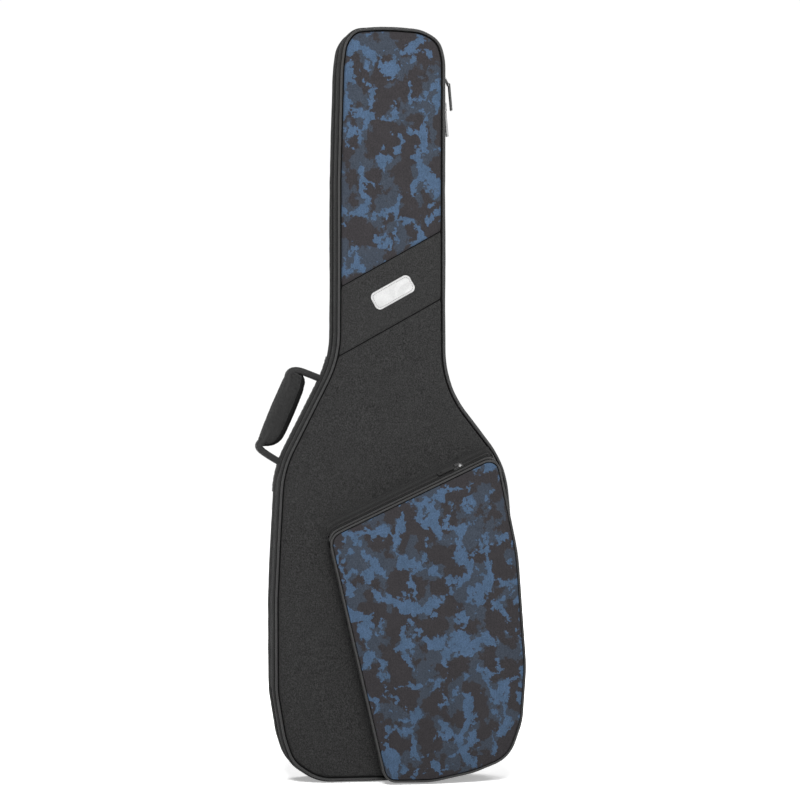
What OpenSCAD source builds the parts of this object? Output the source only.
// Padded gig bag for an electric guitar.
// Millimetres. Front faces -Y, +X is the right side seen from the front, +Z is up (head up).
// The origin is the centre of the flat patch the tail rests on.

/* [Bag] */
// depth of the rear half, from the zip plane to the back seam
rear_d = 40; // [37:0.5:46]
// depth of the front half, from the zip plane to the front seam
front_d = 40; // [37:0.5:46]
// outer fabric thickness
fabric_t = 2.0; // [1.4:0.1:2.0]
// thickness of the flat foam in front and back
foam_t = 7.5; // [5:0.5:9]
// thickness of the foam in the side walls
side_foam = 6; // [4:0.5:8]
// how far the piping stands proud of the side wall
pipe_proud = 1.5; // [0.8:0.1:1.5]

/* [Pocket] */
// depth of the accessory pocket in front of the front panel
pocket_d = 34; // [30:1:38]
// height of the slanted zip band at the top of the pocket
band_rise = 17; // [14:1:18]

/* [Handle] */
// thickness of the padded grip away from the side wall
grip_n = 34; // [28:1:34]
// thickness of the padded grip from front to back
grip_y = 26; // [22:1:26]
// width of the carrying webbing
web_w = 25; // [20:1:25]

/* [Zip] */
// length of the main zip pulls
pull_len = 44; // [36:1:46]
// length of the pocket zip pull
pocket_pull_len = 30; // [24:1:32]

/* [Shoulder straps] */
// width of the shoulder pads
pad_w = 60; // [50:1:62]
// thickness of the shoulder pads
pad_t = 9; // [6:1:10]

/* [Hidden] */
$fn = 48;
yz = -25;                 // zip plane
fs = -front_d + 2.5;      // seam plane of the front panel, relative to the zip plane
rs = rear_d - 2.5;        // seam plane of the back panel
ff = fs - 2.2;            // outside of the front panel
rf = rs + 2.2;            // outside of the back panel
hinge_x = -170;
zip_gap = 10;             // where the side wall stops beside the zip
tape_r = 20;              // how far the zip tape reaches under the side wall
pf = ff - pocket_d;       // outside of the pocket, relative to the zip plane
pa = 25.26;               // slope of the pocket zip
pm = [21.5, 394.5];       // middle of the pocket's top edge
pbeta = atan2(pocket_d, band_rise);
plen = norm([pocket_d, band_rise]);

// outline corners [x, z, corner radius], anticlockwise seen from the front
bag = [
  [   0,    2.5,   0], [  62,    2.5, 120], [ 121,   19.5,  90], [ 154,   37,  45],
  [ 173,   84,  80], [ 179,  150, 180], [ 177,  200, 300], [ 168,  320, 400],
  [ 157,  438, 130], [  72,  547, 140], [  71,  690, 300], [  71, 1041,  50],
  [   0, 1042.5, 300], [ -72, 1041,  45], [ -75.5, 985, 150], [ -79.5, 830, 500],
  [ -79.5, 700, 300], [ -80,  585, 150], [-157.5, 432, 150], [-163,  330, 400],
  [-166.5, 250, 300], [-166,  125, 150], [-155.5, 63, 110], [-143.5, 28, 45],
  [-106,    2.5,  65]
];

// pocket outline at its front edge, anticlockwise
pocket = [
  [ -16,   7,  16], [  46,  7.5, 120], [ 101, 20.5, 120], [ 150,  37,  45], [ 169,  85,  80],
  [ 175, 160, 200], [ 164, 315, 300], [ 137, 449,  14], [ -94,  340,  18]
];
// the same at its foot, taller by the slanted zip band
vk = band_rise;
pocket_foot = [
  [ -16,   7,  16], [  46,  7.5, 120], [ 101, 20.5, 120], [ 150,  37,  45], [ 169,  85,  80],
  [ 175, 160, 200], [ 164, 315, 300], [ 137 - 0.140 * vk, 449 + 1.040 * vk,  10], [ -94 - 0.232 * vk, 340 + 0.997 * vk,  14]
];

// points and outward normals of a rounded corner
function corner(a, b, c, r) = r == 0 ? [[b, [0, -1]]] : let(
  u = (a - b) / norm(a - b), w = (c - b) / norm(c - b),
  ang = acos(max(-1, min(1, u * w))),
  turn = (b - a)[0] * (c - b)[1] - (b - a)[1] * (c - b)[0],
  t = min(r / tan(ang / 2), 0.45 * min(norm(a - b), norm(c - b))),
  rr = t * tan(ang / 2),
  m = b + (u + w) / norm(u + w) * (rr / sin(ang / 2)),
  p = b + u * t - m, q = b + w * t - m,
  a1 = atan2(p[1], p[0]), a2 = atan2(q[1], q[0]),
  d = (a2 - a1 + 900) % 360 - 180,
  k = max(1, ceil(abs(d) / 8)),
  s = turn > 0 ? 1 : -1)
  [for (j = [0:k]) let(e = [cos(a1 + d * j / k), sin(a1 + d * j / k)]) [m + rr * e, s * e]];

function xz(v) = [v[0], v[1]];
function loop(P) = let(n = len(P)) [for (i = [0:n - 1])
  each corner(xz(P[(i + n - 1) % n]), xz(P[i]), xz(P[(i + 1) % n]), P[i][2])];
bag_loop = loop(bag);
foot_loop = loop(pocket_foot);
pocket_loop = loop(pocket);
function grown(L, o) = [for (e = L) e[0] + e[1] * o];

// a strip of thickness t along a path of points
function side(P, t) = let(n = len(P)) [for (i = [0:n - 1])
  let(a = P[max(0, i - 1)], b = P[min(n - 1, i + 1)], d = (b - a) / norm(b - a)) P[i] + [-d[1], d[0]] * t / 2];
function rev(P) = [for (i = [len(P) - 1:-1:0]) P[i]];
function strip(P, t) = concat(side(P, t), rev(side(P, -t)));
// a smooth curve through round control points
function cr(a, b, c, d, t) = 0.5 * ((2 * b) + (c - a) * t + (2 * a - 5 * b + 4 * c - d) * t * t + (3 * b - a - 3 * c + d) * t * t * t);
function curve(P, m) = let(n = len(P)) concat([for (i = [0:n - 2], j = [0:m - 1])
  cr(P[max(0, i - 1)], P[i], P[i + 1], P[min(n - 1, i + 2)], j / m)], [P[n - 1]]);
// rounded rectangle
function rrect(w, h, r) = [for (q = [0:3], j = [0:4]) let(a = q * 90 + j * 22.5, sx = (q == 0 || q == 3) ? 1 : -1, sy = q < 2 ? 1 : -1)
  [sx * (w / 2 - r) + r * cos(a), sy * (h / 2 - r) + r * sin(a)]];

// plates and walls of the outline, between two distances from the zip plane
module plate(o, r0, r1) translate([0, yz + r1, 0]) rotate([90, 0, 0]) linear_extrude(r1 - r0) polygon(grown(bag_loop, o));
module wall(o1, o0, r0, r1) translate([0, yz + r1, 0]) rotate([90, 0, 0]) linear_extrude(r1 - r0)
  difference() { polygon(grown(bag_loop, o1)); polygon(grown(bag_loop, o0)); }
// the stretch of the left side that folds instead of unzipping
module fold_zone(r0, r1, g = 0) translate([-200, yz + r0, 128 + g]) cube([80, r1 - r0, 296 - 2 * g]);

// ---------- rear half ----------
module back_panel() color("#3b3b3d") plate(-3, rs, rf);
module back_foam() color("#8a8a86") plate(-2, rs - foam_t, rs);
module rear_side_wall() color("#434345") union() {
  wall(0, -2, zip_gap, rs);
  intersection() { wall(0, -2, 0.5, zip_gap + 1); fold_zone(0.5, zip_gap + 1); }
}
module rear_side_foam() color("#8a8a86") union() {
  wall(-2, -3.2 - side_foam, tape_r + 0.2, rs - foam_t);
  wall(-3.4, -3.2 - side_foam, 8, tape_r + 0.5);
}
module rear_lining() color("#5b5b60") difference() {
  plate(-3.2 - side_foam, 8, rs - foam_t);
  plate(-4.2 - side_foam, 7, rs - foam_t - 1);
}
module rear_piping() color("#4c4c4e") wall(pipe_proud, -3, rs, rs + 4);
module rear_zip_tape() color("#2e2e30") difference() { wall(-2, -3.2, 2.4, tape_r); fold_zone(0, 30); }
module rear_zip_coil() color("#1d1d1f") difference() { wall(-0.8, -3.2, 0.6, 2.4); fold_zone(0, 30); }
module hinge_tape() color("#343436") intersection() { wall(-2, -3.2, 0.6, tape_r); fold_zone(0, 30, 4); }
module zip_end_stops() color("#a0a0a2") for (p = [[-163.56, 128.4], [-153.93, 420.4]])
  translate([p[0], yz + 0.7, p[1]]) cube([1.0, 2.8, 3.2]);
module tail_patch() color("#2c2c2e") translate([-58, -12, 0]) cube([116, 24, 2.5]);
module handle_patch() color("#37373a") intersection() {
  wall(1.5, 0, 13, 35);
  translate([-190, yz + 12, 400]) cube([130, 26, 188]);
}
module tail_bumper() color("#77777a") translate([-60, yz + 9, 15]) cube([120, 18, 22]);
module neck_cradle() color("#6a6a6e") difference() {
  translate([-53, yz + 3, 700]) cube([100, 25.9, 70]);
  translate([-3, yz + 1, 699]) cylinder(r = 22, h = 72, $fn = 64);
}
module upper_anchor_patch() color("#2c2c2e") translate([0, yz + rf + 1.8, 0]) rotate([90, 0, 0]) linear_extrude(1.8)
  polygon([[-52, 604], [46, 604], [46, 672], [26, 690], [-32, 690], [-52, 672]]);
module lower_anchor_tabs() color("#2c2c2e") for (x = [-1, 1]) translate([x * 102 - 15, yz + rf, 84]) cube([30, 1.8, 36]);
module loop_anchor() color("#2c2c2e") translate([-17, yz + rf, 1000]) cube([28, 1.8, 22]);

// ---------- front half ----------
function cut_z(x, z0) = z0 + x * 0.5612;
module region(za, zb) translate([0, 60, 0]) rotate([90, 0, 0]) linear_extrude(160)
  polygon([[-220, cut_z(-220, za)], [220, cut_z(220, za)], [220, cut_z(220, zb)], [-220, cut_z(-220, zb)]]);
module front_panel() color("#3a3a3c") intersection() { plate(-3, ff, fs); region(-300, 631); }
module shoulder_band() color("#333335") intersection() { plate(-3, ff, fs); region(631.2, 725); }
module neck_panel() color("#4d5a66") intersection() { plate(-3, ff, fs); region(725.2, 1300); }
module front_foam() color("#8a8a86") plate(-2, fs, fs + foam_t);
module front_side_wall() color("#434345") union() {
  wall(0, -2, fs, -zip_gap);
  intersection() { wall(0, -2, -zip_gap - 1, -0.5); fold_zone(-zip_gap - 1, -0.5); }
}
module front_side_foam() color("#8a8a86") union() {
  wall(-2, -3.2 - side_foam, fs + foam_t, -tape_r - 0.2);
  wall(-3.4, -3.2 - side_foam, -tape_r - 0.5, -8);
}
module front_lining() color("#5b5b60") difference() {
  plate(-3.2 - side_foam, fs + foam_t, -8);
  plate(-4.2 - side_foam, fs + foam_t + 1, -7);
}
module front_piping() color("#4c4c4e") wall(pipe_proud, -3, fs - 4, fs);
module front_zip_tape() color("#2e2e30") difference() { wall(-2, -3.2, -tape_r, -2.4); fold_zone(-30, 0); }
module front_zip_coil() color("#1d1d1f") difference() { wall(-0.8, -3.2, -2.4, -0.6); fold_zone(-30, 0); }
module badge() color("#9a9a9c") translate([0, yz + ff, 0]) rotate([90, 0, 0]) linear_extrude(1.2)
  translate([-3, 676]) rotate(29.3) polygon(rrect(62, 26, 8));

// ---------- pocket ----------
module pocket_slice(L, o, lim, r0, r1) translate([0, yz + r1, 0]) rotate([90, 0, 0]) linear_extrude(r1 - r0)
  intersection() { polygon(grown(L, o)); polygon(grown(bag_loop, lim)); }
// frame of the slanted zip band: x along the zip, y from the pocket edge to the panel, z outward
module on_band() translate([pm[0], yz + pf, pm[1]]) rotate([90 - pbeta, -pa, 0]) children();
module pocket_side_wall() color("#3e3e41") difference() {
  pocket_slice(foot_loop, 0, -4, pf + 2, ff);
  pocket_slice(foot_loop, -2, -6, pf + 1, ff + 1);
  on_band() translate([-170, -40, -1.4]) cube([340, 100, 90]);
}
module pocket_panel() color("#4d5a66") pocket_slice(pocket_loop, -3, -7, pf, pf + 2);
module pocket_piping() color("#4c4c4e") difference() {
  pocket_slice(pocket_loop, 1, -3, pf - 2, pf + 2);
  pocket_slice(pocket_loop, -3, -7, pf - 3, pf + 3);
}
module band_strip(t0, t1, z0, z1) on_band() translate([-119, t0, z0]) cube([236, t1 - t0, z1 - z0]);
module pocket_tape_lower() color("#2e2e30") band_strip(3.2, plen / 2 - 1.8, -1.4, -0.4);
module pocket_tape_upper() color("#2e2e30") band_strip(plen / 2 + 1.8, plen - 3.2, -1.4, -0.4);
module pocket_coils() color("#1d1d1f") for (s = [-1, 1])
  on_band() translate([-117, plen / 2 + (s > 0 ? 0.6 : -1.8), -1.6]) cube([232, 1.2, 1.8]);

// ---------- zip sliders ----------
// local frame: x along the zip, y across it, z outward
module slider_body(back, h) union() {
  translate([-7, -4.5, 0.4]) cube([14, 9, 1.6]);
  translate([1, -0.4, back]) cube([4, 0.8, 0.6 - back]);
  translate([-5.5, -4, back - 1.4]) cube([11, 8, 1.4]);
  difference() {
    translate([0, 1.5, 1.9]) rotate([90, 0, 0]) linear_extrude(3) polygon([[-5, 0], [5, 0], [4, 3.0 + h], [2.6, 4.1 + h], [-2.6, 4.1 + h], [-4, 3.0 + h]]);
    translate([0, 3, 3.9 + h]) rotate([90, 0, 0]) cylinder(r = 1.5, h = 6, $fn = 32);
  }
}
// the pull hangs along -x from its pin
module pull_body(len, w, yo, lift, hole) union() {
  translate([0, 3.4, 0]) rotate([90, 0, 0]) cylinder(r = 0.9, h = 6.8, $fn = 24);
  for (s = [-1, 1]) translate([0, s * 2.6 + 0.8, 0]) rotate([90, 0, 0]) linear_extrude(1.6)
    polygon([[0.9, -0.9], [0.9, 0.9], [-7.2, lift + 0.9], [-7.2, lift - 0.9]]);
  difference() {
    union() {
      translate([-len, yo - w / 2, lift - 0.9]) cube([len - 6.4, w, 1.8]);
      translate([-8.6, min(-3.4, yo - w / 2), lift - 0.9]) cube([2.2, max(3.4, yo + w / 2) - min(-3.4, yo - w / 2), 1.8]);
    }
    translate([-len + 4.5, yo, lift - 2]) cylinder(r = hole, h = 4, $fn = 32);
  }
}
// main zip, right side of the neck: x of the local frame is up
sz_a = 976; sz_b = 941;
side_h = 3.8;             // extra height of the big side sliders
hang = 5;                 // how far the side pulls hang away from the wall, degrees
module on_side(z) translate([71 - 0.8, yz, z]) rotate([0, -90, 180]) children();
module zip_slider_a() color("#b5b5b8") on_side(sz_a) slider_body(-2.6, side_h);
module zip_slider_b() color("#b5b5b8") on_side(sz_b) slider_body(-2.6, side_h);
module zip_pull_a() color("#202022") on_side(sz_a) translate([0, 0, 3.9 + side_h]) rotate([0, hang, 0]) pull_body(pull_len, 6.4, 7.2, 3.6, 1.6);
module zip_pull_b() color("#8f8f92") on_side(sz_b) translate([0, 0, 3.9 + side_h]) rotate([0, hang, 0]) pull_body(pull_len, 6.4, -4.4, 0, 1.6);
pu = 76;
module pocket_slider() color("#b5b5b8") on_band() translate([pu, plen / 2, 0.2]) slider_body(-2.0, 0);
module pocket_pull() color("#8f8f92") on_band() translate([pu, plen / 2, 4.1]) pull_body(pocket_pull_len, 7, 0, 0, 1.6);

// ---------- side handle ----------
// local frame: x down along the sloping side, y outward, z to the back
hy = yz + 24;
module on_slope() translate([-80, hy, 585]) rotate([-90, 116.87, 0]) children();
handle_path = curve([[29, 4.4], [31, 10], [38, 25], [52, 32], [102, 32], [151, 32], [160, 22], [163, 10], [164, 4.4]], 5);
module handle_webbing() color("#2f2f32") on_slope() intersection() {
  translate([0, 0, -web_w / 2]) linear_extrude(web_w) polygon(strip(handle_path, 2.2));
  translate([10, 0, 0]) rotate([90, 0, 90]) linear_extrude(170) polygon([[2, -1.2], [4.6, -1.2], [10, -6], [24, -web_w / 2 - 0.5], [60, -web_w / 2 - 0.5],
    [60, web_w / 2 + 0.5], [24, web_w / 2 + 0.5], [10, 6], [4.6, 1.2], [2, 1.2]]);
}
module handle_grip() color("#323235") on_slope() difference() {
  translate([52, 32, 0]) rotate([90, 0, 90]) linear_extrude(99) polygon(rrect(grip_n, grip_y, 11));
  translate([0, 0, -web_w / 2 - 0.2]) linear_extrude(web_w + 0.4) polygon(strip(handle_path, 2.5));
}

// ---------- hang loop on the back of the head ----------
loop_z = 1003;
module hang_loop() color("#2f2f32") translate([-14, yz + rf + 2.2, loop_z]) rotate([90, 0, 90]) linear_extrude(22) difference() {
  polygon([[0.4, 2], [2.4, 4], [5, 3], [8.2, -6], [9.2, -30], [7.4, -50], [4.6, -55], [1.8, -50], [0.4, -30], [0.2, -6]]);
  polygon([[2.2, -1], [4.0, 1], [6.2, -7], [7.2, -30], [5.6, -48], [4.6, -51], [3.6, -48], [2.2, -30]]);
}

// ---------- neck strap ----------
module neck_strap() color("#3f3f44") translate([-50, yz - 0.4, 720]) cube([94, 2.4, 30]);

// ---------- shoulder straps ----------
// local frame: x down along the strap, y away from the back, z across
st_top = [36, 632]; st_bot = [102, 104];
st_len = norm(st_bot - st_top);
st_ang = atan2(st_bot[0] - st_top[0], st_top[1] - st_bot[1]);
module on_strap(s) translate([-3 + s * st_top[0], yz + rf, st_top[1]]) rotate([0, -s * st_ang, 0]) rotate([0, 90, 0]) children();
pad_path = curve([[22, 18], [60, 30], [130, 40], [220, 42], [310, 38], [372, 30]], 4);
web_path = curve([[0, 3.6], [10, 9], [22, 16.5], [60, 30], [130, 40], [220, 42], [310, 38], [372, 30], [430, 22], [490, 13], [524, 6], [st_len - 1, 3.6]], 3);
module strap_pad(s) on_strap(s) difference() {
  intersection() {
    translate([0, 0, -pad_w / 2]) linear_extrude(pad_w) polygon(strip(pad_path, pad_t));
    rotate([-90, 0, 0]) linear_extrude(80) polygon([[15, -15], [24, -16], [58, -pad_w / 2 - 1], [350, -pad_w / 2 - 1], [368, -20], [385, -18],
      [385, 18], [368, 20], [350, pad_w / 2 + 1], [58, pad_w / 2 + 1], [24, 16], [15, 15]]);
  }
  translate([0, 0, -12.7]) linear_extrude(25.4) polygon(strip(web_path, 2.0));
}
module strap_web(s) on_strap(s) intersection() {
  translate([0, 0, -12.5]) linear_extrude(25) polygon(strip(web_path, 1.8));
  rotate([-90, 0, 0]) linear_extrude(80) polygon([[-4, -0.9], [0, -0.9], [10, -9], [22, -13], [500, -13], [524, -4.5], [st_len - 1, -0.9], [st_len + 4, -0.9],
    [st_len + 4, 0.9], [st_len - 1, 0.9], [524, 4.5], [500, 13], [22, 13], [10, 9], [0, 0.9], [-4, 0.9]]);
}
module strap_lock(s) on_strap(s) translate([404, 26, 0]) rotate([0, 0, -8]) difference() {
  translate([-16, -4, -18]) cube([32, 8, 36]);
  translate([-40, -1.8, -13]) cube([80, 3.6, 26]);
  translate([-9, -6, -13]) cube([7, 12, 26]);
  translate([3, -6, -13]) cube([7, 12, 26]);
}
module strap_pad_left() color("#38383b") strap_pad(-1);
module strap_pad_right() color("#38383b") strap_pad(1);
module strap_web_left() color("#2f2f32") strap_web(-1);
module strap_web_right() color("#2f2f32") strap_web(1);
module strap_lock_left() color("#232325") strap_lock(-1);
module strap_lock_right() color("#232325") strap_lock(1);

back_panel();
back_foam();
rear_side_wall();
rear_side_foam();
rear_lining();
rear_piping();
rear_zip_tape();
rear_zip_coil();
hinge_tape();
zip_end_stops();
tail_patch();
handle_patch();
tail_bumper();
neck_cradle();
upper_anchor_patch();
lower_anchor_tabs();
loop_anchor();
front_panel();
shoulder_band();
neck_panel();
front_foam();
front_side_wall();
front_side_foam();
front_lining();
front_piping();
front_zip_tape();
front_zip_coil();
badge();
pocket_side_wall();
pocket_panel();
pocket_piping();
pocket_tape_lower();
pocket_tape_upper();
pocket_coils();
zip_slider_a();
zip_slider_b();
zip_pull_a();
zip_pull_b();
pocket_slider();
pocket_pull();
handle_webbing();
handle_grip();
hang_loop();
neck_strap();
strap_pad_left();
strap_pad_right();
strap_web_left();
strap_web_right();
strap_lock_left();
strap_lock_right();
